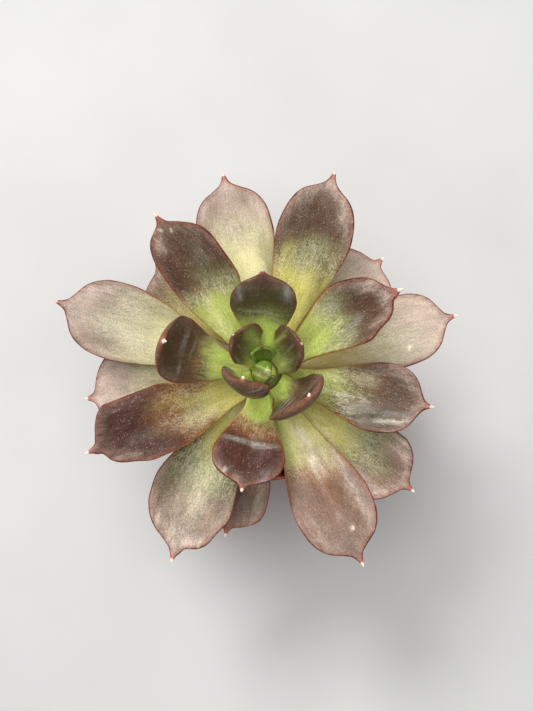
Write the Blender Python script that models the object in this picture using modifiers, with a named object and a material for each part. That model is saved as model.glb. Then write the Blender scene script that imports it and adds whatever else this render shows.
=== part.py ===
"""Potted echeveria: a leaning rosette of pointed fleshy leaves on a short stem, in a tapered round pot.

Origin: centre of the pot's underside, +Z up, metres. The leaves follow the golden angle up the stem,
the oldest lowest; each is its own piece, and the tiny ones round the growing point are one heart.
"""
import math

import bmesh
import bpy
import numpy as np

MM = 0.001

# Pot: thin moulded plastic, tapered, with a collar under the rim and holes in the floor
POT_HEIGHT = 65 * MM
RIM_RADIUS = 38 * MM
FOOT_RADIUS = 26 * MM
COLLAR_HEIGHT = 10 * MM
COLLAR_STEP = 1.1 * MM
COLLAR_TAPER = 0.6 * MM
COLLAR_CHAMFER = 0.8 * MM
FOOT_ROUND = 1.2 * MM
WALL = 1.3 * MM
FLOOR = 1.8 * MM
LIP_ROUND = 0.5 * MM
POT_STEPS = 56
DRAIN_COUNT = 6
DRAIN_RADIUS = 3.2 * MM
DRAIN_CIRCLE = 15 * MM

# Potting mix: fills the pot, a little below the rim and gently heaped
CLEARANCE = 0.32 * MM
MIX_EDGE_HEIGHT = 57 * MM
MIX_HEAP = 1.6 * MM
MIX_RELIEF = 0.45 * MM
MIX_RINGS = 6
MIX_STEPS = 40

# Stem: stands in a plain hole in the mix and leans with the whole rosette
LEAN = math.radians(5)
STEM_FOOT = (0.0, -1.8 * MM, 59 * MM)
STEM_BELOW = 20 * MM
STEM_HOLE_TOP = 6 * MM
STEM_TOP = 34.5 * MM
STEM_RADII = ((-20, 4.6), (-12, 6.0), (0, 6.6), (12, 6.0), (24, 5.0), (34, 2.9), (40, 1.9))
STEM_STEPS = 24

# Leaves up the stem: one more golden angle and one more pitch each
GOLDEN_ANGLE = 137.5
FIRST_LEAF = 6.6 * MM
LEAF_PITCH = 1.3 * MM
LEAF_SEAT = 0.3 * MM
RING_STATIONS = (0, 0.08, 0.2, 0.34, 0.48, 0.6, 0.7, 0.79, 0.86, 0.91, 0.95, 0.98, 1)
RING_POINTS = 12

# Heart: a small turned core that the youngest leaves grow from
CORE_BOTTOM = 34.8 * MM
CORE_PROFILE = ((0, 2.5), (0.8, 3.2), (2.0, 3.2), (3.0, 2.8), (3.6, 1.9))
CORE_TOP = 38.7 * MM

# A leaf's half width, thickness and cupping along its length, as shares of their largest value
OUTLINE = ((0.0, 0.36), (0.15, 0.39), (0.35, 0.62), (0.52, 0.88), (0.66, 1.0), (0.76, 0.96), (0.83, 0.83),
           (0.875, 0.64), (0.91, 0.34), (0.935, 0.15), (0.96, 0.08), (0.98, 0.05), (1.0, 0.015))
THICKNESS = ((0.0, 0.85), (0.3, 1.0), (0.7, 0.85), (0.88, 0.62), (0.95, 0.45), (0.98, 0.3), (1.0, 0.1))
CUPPING = ((0, 0.5), (0.5, 0.9), (0.8, 1.0), (1, 0.9))

# What a leaf has unless its own row says otherwise: millimetres and degrees
PLAIN_LEAF = {
    "turn": 0,            # heading beyond its golden angle
    "length": 60,
    "width": 25,
    "plump": 0.17,        # thickness as a share of the width
    "rise": 10,           # slope at the foot
    "tip": None,          # slope towards the tip, the foot's if not given
    "bend": 2.0,          # how late the slope changes
    "hook": 0,            # extra curl of the last third
    "sweep": 0,           # sideways curve of the midrib
    "sweep_power": 1.5,
    "skew": 0,            # tip set off to one side, in half widths
    "cup": (18, 18),      # curl of the left and right margins
    "lop": 0,             # share by which the left half is wider than the right
    "belly": 0,           # fuller towards the foot
    "shoulder": (0, 0),   # fuller left and right below the tip
    "sink": 0,            # foot set in towards the axis
}

# The rosette, oldest and lowest leaf first
LEAVES = (
    {"turn": 0, "length": 46, "width": 29, "rise": 5, "skew": -0.2, "shoulder": (0.1, 0.1)},
    {"turn": -19, "length": 48.5, "width": 22, "rise": 8, "shoulder": (0.1, 0.1)},
    {"turn": -8, "length": 48, "width": 24, "rise": 6, "shoulder": (0.2, 0.2)},
    {"turn": -2, "length": 53, "width": 26, "rise": 8, "shoulder": (0.15, 0.15)},
    {"turn": -6, "length": 55, "width": 24, "rise": 10, "shoulder": (0.05, 0.05)},
    {"turn": -3, "length": 60, "width": 25, "rise": 10, "cup": (22, 22)},
    {"turn": -5, "length": 61, "width": 27.5, "rise": 14, "sweep": 5, "skew": 0.35, "shoulder": (-0.12, 0)},
    {"turn": -2, "length": 58, "width": 23, "rise": 12, "sweep": -3},
    {"turn": 3, "length": 65, "width": 25, "rise": 12, "skew": 0.05},
    {"turn": 2, "length": 62, "width": 25, "rise": 17},
    {"turn": -2, "length": 62, "width": 24, "rise": 18, "skew": 0.05, "shoulder": (-0.03, -0.03)},
    {"turn": -2, "length": 57, "width": 21.5, "rise": 22, "sweep": -13, "skew": 0.05, "belly": 0.15,
     "shoulder": (-0.15, 0.22), "lop": -0.16},
    {"turn": 0, "length": 49, "width": 22.5, "rise": 22, "skew": 0.1, "cup": (15, 40)},
    {"turn": 0, "length": 56, "width": 20.5, "rise": 24, "sweep": -13, "skew": 0.45, "cup": (25, 35),
     "belly": 0.1, "shoulder": (0, 0.1), "lop": -0.06},
    {"turn": -4, "length": 35, "width": 22.5, "rise": 32},
    {"turn": -4, "length": 48.5, "width": 21.5, "rise": 32, "sweep": -3, "skew": -0.25, "cup": (25, 50),
     "shoulder": (-0.05, -0.15)},
    {"turn": -8, "length": 41, "width": 20, "rise": 32, "tip": 64, "hook": 60, "sweep": -14, "skew": -0.25,
     "lop": -0.08},
    {"turn": 5, "length": 24.5, "width": 20.5, "rise": 48, "tip": 96, "hook": 40, "bend": 1.4, "sweep": -12,
     "sweep_power": 1, "skew": 0.4, "cup": (35, 35), "belly": 0.1},
    {"turn": -1, "length": 35, "width": 20, "rise": 45},
    {"turn": -22, "length": 22, "width": 17.5, "rise": 62, "tip": 116, "hook": 46, "bend": 1.2, "sweep": 52,
     "sweep_power": 1, "skew": -0.05, "cup": (48, 48)},
    {"turn": 26, "length": 21, "width": 14.5, "rise": 54, "tip": 80, "bend": 1.3, "sweep": -12, "skew": 0.3,
     "cup": (18, 70), "belly": 0.22, "lop": 0.28},
    {"turn": -14, "length": 22.5, "width": 13.5, "rise": 50, "tip": 78, "bend": 1.3, "sweep": 5, "skew": -0.1,
     "cup": (70, 14), "belly": 0.15, "lop": -0.18},
)

# The youngest leaves, which carry on the same spiral and are fused into the heart
HEART_LEAVES = (
    {"turn": 20, "length": 5, "width": 4.4, "rise": 84, "tip": 100, "bend": 1.0, "plump": 0.6,
     "sink": 2.0},
    {"turn": 38, "length": 14.5, "width": 8.2, "rise": 46, "tip": 78, "bend": 1.3, "plump": 0.28,
     "cup": (38, 38), "sink": 2.8},
    {"turn": -40, "length": 13, "width": 8, "rise": 62, "tip": 182, "bend": 1.2, "plump": 0.22,
     "cup": (45, 45), "sink": 1.2},
)

# Colours, roughness: linear red, green, blue
POT_LOOK = ((0.50, 0.075, 0.018), 0.42)
MIX_LOOK = ((0.035, 0.022, 0.014), 0.95)
STEM_LOOK = ((0.26, 0.20, 0.09), 0.7)
OLD_LEAF_LOOK = ((0.42, 0.33, 0.27), 0.5)
YOUNG_LEAF_LOOK = ((0.10, 0.055, 0.05), 0.32)
HEART_LOOK = ((0.16, 0.28, 0.06), 0.32)


def clear_scene():
    for obj in list(bpy.data.objects):
        bpy.data.objects.remove(obj, do_unlink=True)


def new_collection(name):
    coll = bpy.data.collections.new(name)
    bpy.context.scene.collection.children.link(coll)
    return coll


def material(name, look):
    color, roughness = look
    mat = bpy.data.materials.new(name)
    mat.use_nodes = True
    shader = mat.node_tree.nodes["Principled BSDF"]
    shader.inputs["Base Color"].default_value = (*color, 1)
    shader.inputs["Roughness"].default_value = roughness
    shader.inputs["Metallic"].default_value = 0
    return mat


def blend(a, b, share):
    color = tuple(x + (y - x) * share for x, y in zip(a[0], b[0]))
    return color, a[1] + (b[1] - a[1]) * share


def add_object(name, mesh, coll, parent=None, look=None):
    obj = bpy.data.objects.new(name, mesh)
    coll.objects.link(obj)
    obj.parent = parent
    if look:
        mesh.materials.append(material(name, look))
    return obj


def as_cutter(obj):
    obj.hide_render = True
    obj.display_type = "WIRE"
    return obj


def smooth_shade(mesh, angle=35):
    mesh.shade_smooth()
    mesh.set_sharp_from_angle(angle=math.radians(angle))


def profile_mesh(name, points):
    """An open line of (radius, height) points in the XZ plane, ready for a Screw modifier."""
    bm = bmesh.new()
    verts = [bm.verts.new((r, 0, z)) for r, z in points]
    for a, b in zip(verts, verts[1:]):
        bm.edges.new((a, b))
    mesh = bpy.data.meshes.new(name)
    bm.to_mesh(mesh)
    bm.free()
    return mesh


def add_screw(obj, steps):
    screw = obj.modifiers.new("turn", "SCREW")
    screw.steps = steps
    screw.render_steps = steps
    screw.use_merge_vertices = True
    screw.merge_threshold = 0.00001
    screw.use_smooth_shade = True
    return screw


def add_boolean(obj, other, operation):
    cut = obj.modifiers.new(operation.lower(), "BOOLEAN")
    cut.operation = operation
    cut.solver = "EXACT"
    cut.object = other
    return cut


def evaluated_mesh(obj, name):
    """The object's mesh with its modifiers applied."""
    bpy.context.view_layer.update()
    depsgraph = bpy.context.evaluated_depsgraph_get()
    mesh = bpy.data.meshes.new_from_object(obj.evaluated_get(depsgraph), depsgraph=depsgraph)
    mesh.name = name
    return mesh


def arc(center, radius, start, end, count):
    """Points on an arc in the profile plane, angles in degrees from +X towards +Z."""
    pts = []
    for i in range(count + 1):
        a = math.radians(start + (end - start) * i / count)
        pts.append((center[0] + radius * math.cos(a), center[1] + radius * math.sin(a)))
    return pts


def smooth_curve(points, u):
    """Values at u of the curve through the given points that never overshoots them."""
    x = np.array([p[0] for p in points], float)
    y = np.array([p[1] for p in points], float)
    step = np.diff(x)
    slope = np.diff(y) / step
    tangent = np.zeros_like(x)
    tangent[0] = slope[0]
    tangent[-1] = slope[-1]
    for i in range(1, len(x) - 1):
        if slope[i - 1] * slope[i] > 0:
            w1 = 2 * step[i] + step[i - 1]
            w2 = step[i] + 2 * step[i - 1]
            tangent[i] = (w1 + w2) / (w1 / slope[i - 1] + w2 / slope[i])
    k = np.clip(np.searchsorted(x, u, side="right") - 1, 0, len(step) - 1)
    t = (u - x[k]) / step[k]
    return ((2 * t**3 - 3 * t**2 + 1) * y[k] + (t**3 - 2 * t**2 + t) * step[k] * tangent[k]
            + (3 * t**2 - 2 * t**3) * y[k + 1] + (t**3 - t**2) * step[k] * tangent[k + 1])


def stem_radius(height):
    """Radius of the stem at a height above its foot."""
    heights = [h * MM for h, _ in STEM_RADII]
    radii = [r * MM for _, r in STEM_RADII]
    return float(np.interp(height, heights, radii))


def body_radius(z):
    """Outer radius of the pot's wall below the collar."""
    top = RIM_RADIUS - COLLAR_TAPER - COLLAR_STEP
    return FOOT_RADIUS + (top - FOOT_RADIUS) * z / (POT_HEIGHT - COLLAR_HEIGHT)


def collar_radius(z):
    """Outer radius of the collar."""
    down = (POT_HEIGHT - z) / COLLAR_HEIGHT
    return RIM_RADIUS - COLLAR_TAPER * down


def pot_profile():
    """From the middle of the floor up the inside, over the lip and down the outside."""
    collar_z = POT_HEIGHT - COLLAR_HEIGHT
    inner = [
        (0, FLOOR),
        (body_radius(FLOOR) - WALL, FLOOR),
        (body_radius(collar_z) - WALL, collar_z),
        (collar_radius(collar_z) - WALL, collar_z + COLLAR_CHAMFER),
    ]
    lip = [
        (RIM_RADIUS - WALL, POT_HEIGHT - LIP_ROUND),
        (RIM_RADIUS - WALL + LIP_ROUND, POT_HEIGHT),
        *arc((RIM_RADIUS - LIP_ROUND, POT_HEIGHT - LIP_ROUND), LIP_ROUND, 90, 0, 3),
    ]
    outer = [
        (collar_radius(collar_z), collar_z),
        (body_radius(collar_z - COLLAR_CHAMFER), collar_z - COLLAR_CHAMFER),
        (body_radius(FOOT_ROUND), FOOT_ROUND),
        (FOOT_RADIUS - FOOT_ROUND * 0.35, FOOT_ROUND * 0.25),
        (FOOT_RADIUS - FOOT_ROUND, 0),
        (0, 0),
    ]
    return inner + lip + outer


def make_pot(parts, cutters):
    pot = add_object("pot", profile_mesh("pot", pot_profile()), parts, look=POT_LOOK)
    add_screw(pot, POT_STEPS)
    for i in range(DRAIN_COUNT):
        a = 2 * math.pi * (i + 0.5) / DRAIN_COUNT
        bpy.ops.mesh.primitive_cylinder_add(
            vertices=16, radius=DRAIN_RADIUS, depth=4 * FLOOR,
            location=(DRAIN_CIRCLE * math.cos(a), DRAIN_CIRCLE * math.sin(a), FLOOR / 2))
        hole = as_cutter(bpy.context.active_object)
        hole.name = f"drain_hole_{i + 1}"
        for coll in list(hole.users_collection):
            coll.objects.unlink(hole)
        cutters.objects.link(hole)
        add_boolean(pot, hole, "DIFFERENCE")
    return pot


def mix_profile():
    """From the top of the heap out to the wall, then down the inside of the pot to its floor."""
    collar_z = POT_HEIGHT - COLLAR_HEIGHT
    inset = WALL + CLEARANCE
    edge = collar_radius(MIX_EDGE_HEIGHT) - inset
    top = []
    for i in range(MIX_RINGS + 1):
        share = i / MIX_RINGS
        top.append((edge * share, MIX_EDGE_HEIGHT + MIX_HEAP * (1 - share**2)))
    side = [
        (collar_radius(collar_z) - inset, collar_z + COLLAR_CHAMFER + CLEARANCE),
        (body_radius(collar_z) - inset, collar_z + CLEARANCE),
        (body_radius(collar_z / 2) - inset, collar_z / 2),
        (body_radius(FLOOR) - inset, FLOOR + CLEARANCE),
        (0, FLOOR + CLEARANCE),
    ]
    return top + side


def lumps(x, y):
    """Gentle ups and downs of the mix's surface, between -1 and 1."""
    wave = math.sin(430 * x + 1.3) * math.cos(510 * y - 0.4)
    ripple = math.sin(820 * x - 610 * y + 2.1) * math.cos(760 * x + 540 * y)
    return 0.65 * wave + 0.35 * ripple


def make_mix(parts, cutters, axis):
    turned = add_object("mix_turned", profile_mesh("mix_turned", mix_profile()), parts)
    add_screw(turned, MIX_STEPS)
    mesh = evaluated_mesh(turned, "potting_mix")
    bpy.data.objects.remove(turned, do_unlink=True)
    reach = collar_radius(MIX_EDGE_HEIGHT) - WALL - CLEARANCE
    for v in mesh.vertices:
        r = math.hypot(v.co.x, v.co.y)
        if v.co.z > MIX_EDGE_HEIGHT - 0.1 * MM and r < reach * 0.98:
            v.co.z += MIX_RELIEF * lumps(v.co.x, v.co.y)
    mix = add_object("potting_mix", mesh, parts, look=MIX_LOOK)
    smooth_shade(mesh)

    points = [(0, STEM_HOLE_TOP)]
    for h in (STEM_HOLE_TOP / MM, 0, -6, -12, -16):
        points.append((stem_radius(h * MM) + CLEARANCE, h * MM))
    bottom = -STEM_BELOW - CLEARANCE
    points.append((stem_radius(-STEM_BELOW) + CLEARANCE, bottom))
    points.append((0, bottom))
    hole = add_object("stem_hole", profile_mesh("stem_hole", points), cutters, axis)
    add_screw(as_cutter(hole), STEM_STEPS)
    add_boolean(mix, hole, "DIFFERENCE")
    return mix


def make_stem(parts, axis):
    points = [(0, STEM_TOP)]
    for h in (STEM_TOP / MM, 34, 29, 24, 18, 12, 6, 0, -6, -12, -16, -STEM_BELOW / MM):
        points.append((stem_radius(h * MM), h * MM))
    points.append((0, -STEM_BELOW))
    stem = add_object("stem", profile_mesh("stem", points), parts, axis, STEM_LOOK)
    add_screw(stem, STEM_STEPS)
    return stem


def thickness(leaf):
    """A leaf's greatest thickness."""
    return leaf["plump"] * leaf["width"] * MM


def midrib(leaf):
    """Fine points, slopes and headings along a leaf's midrib, from its foot at the origin out along +X."""
    u = np.linspace(0, 1, 401)
    tip = leaf["rise"] if leaf["tip"] is None else leaf["tip"]
    hook = leaf["hook"] * np.clip((u - 0.7) / 0.3, 0, 1) ** 1.3
    slope = np.radians(leaf["rise"] + (tip - leaf["rise"]) * u ** leaf["bend"] + hook)
    heading = np.radians(leaf["sweep"] * u ** leaf["sweep_power"])
    along = np.stack([np.cos(slope) * np.cos(heading), np.cos(slope) * np.sin(heading), np.sin(slope)], -1)
    steps = (along[1:] + along[:-1]) / 2 * leaf["length"] * MM / (len(u) - 1)
    return u, np.concatenate([np.zeros((1, 3)), np.cumsum(steps, 0)]), slope, heading


def half_width(leaf, side, u):
    """Half of a leaf's width at u, on its left (0) or right (1) side."""
    points = [(0, 0.36), (0.15, 0.39 + leaf["belly"] * 0.5)]
    for at, share in OUTLINE[2:]:
        if at < 0.6:
            share = min(1, share + leaf["belly"])
        elif 0.7 < at < 0.92:
            share = min(1, share + leaf["shoulder"][side])
        points.append((at, share))
    return smooth_curve(points, u) * leaf["width"] * MM / 2


def leaf_rings(leaf, seat_radius):
    """Rings of points round a leaf's sections, from the foot to the tip, in the leaf's own frame."""
    u = np.array(RING_STATIONS, float)
    fine, points, slopes, headings = midrib(leaf)
    center = np.stack([np.interp(u, fine, points[:, i]) for i in range(3)], -1)
    slope = np.interp(u, fine, slopes)
    heading = np.interp(u, fine, headings)
    along = np.stack([np.cos(slope) * np.cos(heading), np.cos(slope) * np.sin(heading), np.sin(slope)], -1)
    side = np.stack([-np.sin(heading), np.cos(heading), np.zeros_like(heading)], -1)
    up = np.cross(along, side)

    halves = [half_width(leaf, i, u)[:, None] for i in (0, 1)]
    thick = smooth_curve(THICKNESS, u)[:, None] * thickness(leaf)
    thick = np.minimum(thick, 1.7 * (halves[0] + halves[1]) / 2)

    # Once round the section: across is +1 on the left margin and -1 on the right one
    angle = np.arange(RING_POINTS) / RING_POINTS * 2 * math.pi
    across = np.cos(angle)[None]
    left = across > 0
    sign = np.where(left, 1, -1)
    lens = np.sqrt(np.clip(1 - np.abs(across) ** 2.4, 0, 1)) * np.sign(np.sin(angle))
    lens = lens * np.where(lens > 0, 0.35, 0.65)
    curl = np.radians(np.where(left, leaf["cup"][0], leaf["cup"][1])) * smooth_curve(CUPPING, u)[:, None]
    lop = 1 + leaf["lop"] * sign * np.clip(u[:, None] * 2, 0, 1)
    wide = np.where(left, halves[0], halves[1]) * lop
    turn = curl * np.abs(across)
    x = wide * np.sin(turn) / curl * sign - np.sin(turn) * sign * lens * thick
    z = wide * (1 - np.cos(turn)) / curl + np.cos(turn) * lens * thick

    # The foot is hollowed to the stem, and the tip may lie off to one side
    hollow = seat_radius - np.sqrt(np.maximum(seat_radius**2 - x**2, (0.2 * MM) ** 2))
    hollow = hollow * 0.8 * np.clip(1 - u / 0.12, 0, 1)[:, None]
    x = x + leaf["skew"] * leaf["width"] * MM / 2 * np.clip((u[:, None] - 0.45) / 0.55, 0, 1) ** 1.8
    return (center[:, None] + side[:, None] * x[..., None] + up[:, None] * z[..., None]
            - along[:, None] * hollow[..., None])


def ring_mesh(name, rings):
    """A closed loft through the rings: a cap of strips at the hollow foot and a point at the tip."""
    bm = bmesh.new()
    loops = [[bm.verts.new(p) for p in ring] for ring in rings[:-1]]
    tip = bm.verts.new(rings[-1].mean(0))
    count = len(loops[0])
    for low, high in zip(loops, loops[1:]):
        for k in range(count):
            n = (k + 1) % count
            bm.faces.new((low[k], low[n], high[n], high[k]))
    for k in range(count):
        bm.faces.new((loops[-1][k], loops[-1][(k + 1) % count], tip))
    foot = loops[0]
    for k in range(count // 2):
        strip = [foot[-k], foot[count - k - 1], foot[k + 1], foot[k]]
        bm.faces.new(list(dict.fromkeys(strip)))
    mesh = bpy.data.meshes.new(name)
    bm.to_mesh(mesh)
    bm.free()
    smooth_shade(mesh, 60)
    return mesh


def make_leaf(name, number, row, coll, axis, look=None):
    leaf = {**PLAIN_LEAF, **row}
    height = FIRST_LEAF + LEAF_PITCH * (number - 1)
    radius = stem_radius(height)
    rings = leaf_rings(leaf, radius)
    obj = add_object(name, ring_mesh(name, rings), coll, axis, look)
    reach = radius + LEAF_SEAT - leaf["sink"] * MM
    reach += thickness(leaf) / 2 * math.sin(math.radians(leaf["rise"]))
    heading = math.radians((GOLDEN_ANGLE * number + leaf["turn"]) % 360)
    obj.location = (reach * math.cos(heading), reach * math.sin(heading), height)
    obj.rotation_euler = (0, 0, heading)
    return obj


def make_heart(parts, cutters, axis):
    points = [(0, CORE_TOP)]
    for h, r in reversed(CORE_PROFILE):
        points.append((r * MM, CORE_BOTTOM + h * MM))
    points.append((0, CORE_BOTTOM))
    heart = add_object("heart_leaves", profile_mesh("heart_leaves", points), parts, axis, HEART_LOOK)
    add_screw(heart, 16)
    for i, row in enumerate(HEART_LEAVES):
        number = len(LEAVES) + 1 + i
        bud = as_cutter(make_leaf(f"heart_bud_{i + 1}", number, row, cutters, axis))
        add_boolean(heart, bud, "UNION")
    return heart


def main():
    clear_scene()
    parts = new_collection("potted_echeveria")
    cutters = new_collection("cutters")
    axis = bpy.data.objects.new("rosette_axis", None)
    parts.objects.link(axis)
    axis.location = STEM_FOOT
    axis.rotation_euler = (LEAN, 0, 0)

    make_pot(parts, cutters)
    make_mix(parts, cutters, axis)
    make_stem(parts, axis)
    for i, row in enumerate(LEAVES):
        look = blend(OLD_LEAF_LOOK, YOUNG_LEAF_LOOK, min(1, max(0, (i - 6) / 8)))
        make_leaf(f"leaf_{i + 1:02d}", i + 1, row, parts, axis, look)
    make_heart(parts, cutters, axis)


main()
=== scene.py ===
"""Looks of the potted echeveria: fine leaves with their skin, heart, stem, potting mix and pot.

Metres, +Z up, origin at the centre of the pot's underside. Each fine piece keeps the form of the node that
it replaces. A leaf's skin is coloured by nodes from a few values that its points carry: how far along the
leaf they are, how far from its outline and its point, the leaf's own colours, and the soft marks on it.
The pale bloom inside the margins and towards the point is partly painted sheen, and some of the marks are
painted highlights, sheen, reflections and shade.
"""

import math

import bmesh
import bpy
import numpy as np
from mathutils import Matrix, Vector, noise


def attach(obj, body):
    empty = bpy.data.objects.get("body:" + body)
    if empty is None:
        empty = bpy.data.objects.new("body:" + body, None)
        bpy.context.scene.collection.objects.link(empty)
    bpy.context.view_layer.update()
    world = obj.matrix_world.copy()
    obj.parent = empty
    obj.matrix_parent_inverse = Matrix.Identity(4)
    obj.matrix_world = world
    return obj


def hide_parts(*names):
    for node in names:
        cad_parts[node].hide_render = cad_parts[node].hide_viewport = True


MM = 0.001

# Pot: thin moulded plastic, tapered, with a collar under the rim and holes in the floor
POT_HEIGHT = 65 * MM
RIM_RADIUS = 38 * MM
FOOT_RADIUS = 26 * MM
COLLAR_HEIGHT = 10 * MM
COLLAR_Z = POT_HEIGHT - COLLAR_HEIGHT
COLLAR_STEP = 1.1 * MM
COLLAR_TAPER = 0.6 * MM
COLLAR_CHAMFER = 0.8 * MM
COLLAR_ROUND = 0.3 * MM
FOOT_ROUND = 1.2 * MM
WALL = 1.3 * MM
FLOOR = 1.8 * MM
LIP_ROUND = 0.5 * MM
POT_STEPS = 192
DRAIN_COUNT = 6
DRAIN_RADIUS = 3.2 * MM
DRAIN_STEPS = 40
DRAIN_CIRCLE = 15 * MM
SHARP_EDGE = math.radians(50)
POT_REDS = ((186, 74, 30), (170, 58, 22))
POT_STREAK = (206, 104, 58)
POT_SOIL = (120, 84, 60)
POT_DUST = (206, 170, 140)

# Potting mix: fills the pot, a little below the rim and gently heaped
CLEARANCE = 0.32 * MM
MIX_EDGE_HEIGHT = 57 * MM
MIX_HEAP = 1.6 * MM
MIX_RELIEF = 0.45 * MM
MIX_RINGS = 60
MIX_STEPS = 160
MIX_LUMPS = 0.35 * MM
MIX_GRAIN = 520  # cells per metre
MIX_BROWNS = ((34, 24, 18), (86, 62, 44))
MIX_BARK = (112, 82, 56)
MIX_PERLITE = (214, 206, 192)
CRUMBS = 900
CRUMB_SMALLEST = 0.35
CRUMB_RANGE = 0.75
CRUMB_BULGE = 0.45
CRUMB_STEP = 1.7  # in golden angles
CRUMB_MARGIN = 1.2 * MM
CRUMB_FREE = 8 * MM  # no crumbs this near the stem

# Stem, which leans with the whole rosette
LEAN = math.radians(5)
STEM_FOOT = (0.0, -1.8 * MM, 59 * MM)
STEM_BELOW = 20 * MM
STEM_TOP = 34.5 * MM
STEM_RADII = ((-20, 4.6), (-12, 6.0), (0, 6.6), (12, 6.0), (24, 5.0), (34, 2.9), (40, 1.9))
STEM_STEPS = 96
STEM_RINGS = 130
STEM_GREENS = ((150, 140, 84), (118, 96, 66))
STEM_FIBRE = (176, 160, 122)
SCARS = range(-14, 24)
SCAR_DEPTH = 0.16 * MM
SCAR_HALF_WIDTH = 2.2
SCAR_HALF_HEIGHT = 0.7

# Leaves up the stem: one more golden angle and one more pitch each
GOLDEN_ANGLE = 137.5
FIRST_LEAF = 6.6 * MM
LEAF_PITCH = 1.3 * MM
LEAF_SEAT = 0.3 * MM
FIRST_UPPER = 10  # first of the darker upper leaves
LEAF_RINGS = 120
RING_POINTS = 112
RING_CROWDING = 1.35
MIDRIB_POINTS = 401
BUD_RINGS = 60
BUD_POINTS = 64
CHANNEL_DEPTH = 0.45 * MM
CHANNEL_SHARE = 0.22  # of the half width
FACET_DEPTH = 0.36 * MM
WAVE_DEPTH = 0.25 * MM
ABOVE_MARGIN = 0.35  # share of the thickness that lies above the margins
BELOW_MARGIN = 0.65

# Heart: a small turned core that the youngest leaves grow from
CORE_BOTTOM = 34.8 * MM
CORE_PROFILE = ((0, 2.5), (0.8, 3.2), (2.0, 3.2), (3.0, 2.8), (3.6, 1.9))
CORE_TOP = 38.7 * MM
CORE_RINGS = 24
CORE_SKIN = {"along": 0.2, "upper": 1, "rim": 5, "point": 5, "fade": 0, "bloom": 0, "cover": 0, "edge": 0,
             "tone": 1, "rough": 0.3, "grit": 0.5}

# A leaf's half width, thickness and cupping along its length, as shares of their largest value
OUTLINE = ((0.0, 0.36), (0.15, 0.39), (0.35, 0.62), (0.52, 0.88), (0.66, 1.0), (0.76, 0.96), (0.83, 0.83),
           (0.875, 0.64), (0.91, 0.34), (0.935, 0.15), (0.96, 0.075), (0.98, 0.042), (1.0, 0.01))
THICKNESS = ((0.0, 0.85), (0.3, 1.0), (0.7, 0.85), (0.88, 0.62), (0.95, 0.38), (0.98, 0.2), (1.0, 0.06))
CUPPING = ((0, 0.5), (0.5, 0.9), (0.8, 1.0), (1, 0.9))

# What a leaf has besides length, width and slope at the foot, unless its row says otherwise
PLAIN_LEAF = {
    "turn": 0,           # heading beyond its golden angle
    "plump": 0.17,       # thickness as a share of the width
    "tip": None,         # slope towards the tip, the foot's if not given
    "bend": 2.0,         # how late the slope changes
    "hook": 0,           # extra curl of the last third
    "sweep": 0,          # sideways curve of the midrib
    "sweep_power": 1.5,
    "skew": 0,           # tip set off to one side, in half widths
    "cup": (18, 18),     # curl of the left and right margins
    "lop": 0,            # share by which the left half is wider
    "belly": 0,          # fuller towards the foot
    "shoulder": (0, 0),  # fuller left and right below the tip
    "sink": 0,           # foot set in towards the axis
}


def blade(length, width, rise, **others):
    """One leaf, in millimetres and degrees."""
    return {**PLAIN_LEAF, "length": length, "width": width, "rise": rise, **others}


# The rosette, oldest and lowest leaf first
LEAVES = (
    blade(46, 29, 5, skew=-0.2, shoulder=(0.1, 0.1)),
    blade(48.5, 22, 8, turn=-19, shoulder=(0.1, 0.1)),
    blade(48, 24, 6, turn=-8, shoulder=(0.2, 0.2)),
    blade(53, 26, 8, turn=-2, shoulder=(0.15, 0.15)),
    blade(55, 24, 10, turn=-6, shoulder=(0.05, 0.05)),
    blade(60, 25, 10, turn=-3, cup=(22, 22)),
    blade(61, 27.5, 14, turn=-5, sweep=5, skew=0.35, shoulder=(-0.12, 0)),
    blade(58, 23, 12, turn=-2, sweep=-3),
    blade(65, 25, 12, turn=3, skew=0.05),
    blade(62, 25, 17, turn=2),
    blade(62, 24, 18, turn=-2, skew=0.05, shoulder=(-0.03, -0.03)),
    blade(57, 21.5, 22, turn=-2, sweep=-13, skew=0.05, belly=0.15, shoulder=(-0.15, 0.22), lop=-0.16),
    blade(49, 22.5, 22, skew=0.1, cup=(15, 40)),
    blade(56, 20.5, 24, sweep=-13, skew=0.45, cup=(25, 35), belly=0.1, shoulder=(0, 0.1), lop=-0.06),
    blade(35, 22.5, 32, turn=-4),
    blade(48.5, 21.5, 32, turn=-4, sweep=-3, skew=-0.25, cup=(25, 50), shoulder=(-0.05, -0.15)),
    blade(41, 20, 32, turn=-8, tip=64, hook=60, sweep=-14, skew=-0.25, lop=-0.08),
    blade(24.5, 20.5, 48, turn=5, tip=96, hook=40, bend=1.4, sweep=-12, sweep_power=1, skew=0.4,
          cup=(35, 35), belly=0.1),
    blade(35, 20, 45, turn=-1),
    blade(22, 17.5, 62, turn=-22, tip=116, hook=46, bend=1.2, sweep=52, sweep_power=1, skew=-0.05,
          cup=(48, 48)),
    blade(21, 14.5, 54, turn=26, tip=80, bend=1.3, sweep=-12, skew=0.3, cup=(18, 70), belly=0.22, lop=0.28),
    blade(22.5, 13.5, 50, turn=-14, tip=78, bend=1.3, sweep=5, skew=-0.1, cup=(70, 14), belly=0.15,
          lop=-0.18),
)

# The youngest leaves, which carry on the same spiral and are fused into the heart
HEART_LEAVES = (
    blade(5, 4.4, 84, turn=20, tip=100, bend=1.0, plump=0.6, sink=2.0),
    blade(14.5, 8.2, 46, turn=38, tip=78, bend=1.3, plump=0.28, cup=(38, 38), sink=2.8),
    blade(13, 8, 62, turn=-40, tip=182, bend=1.2, plump=0.22, cup=(45, 45), sink=1.2),
)

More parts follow.
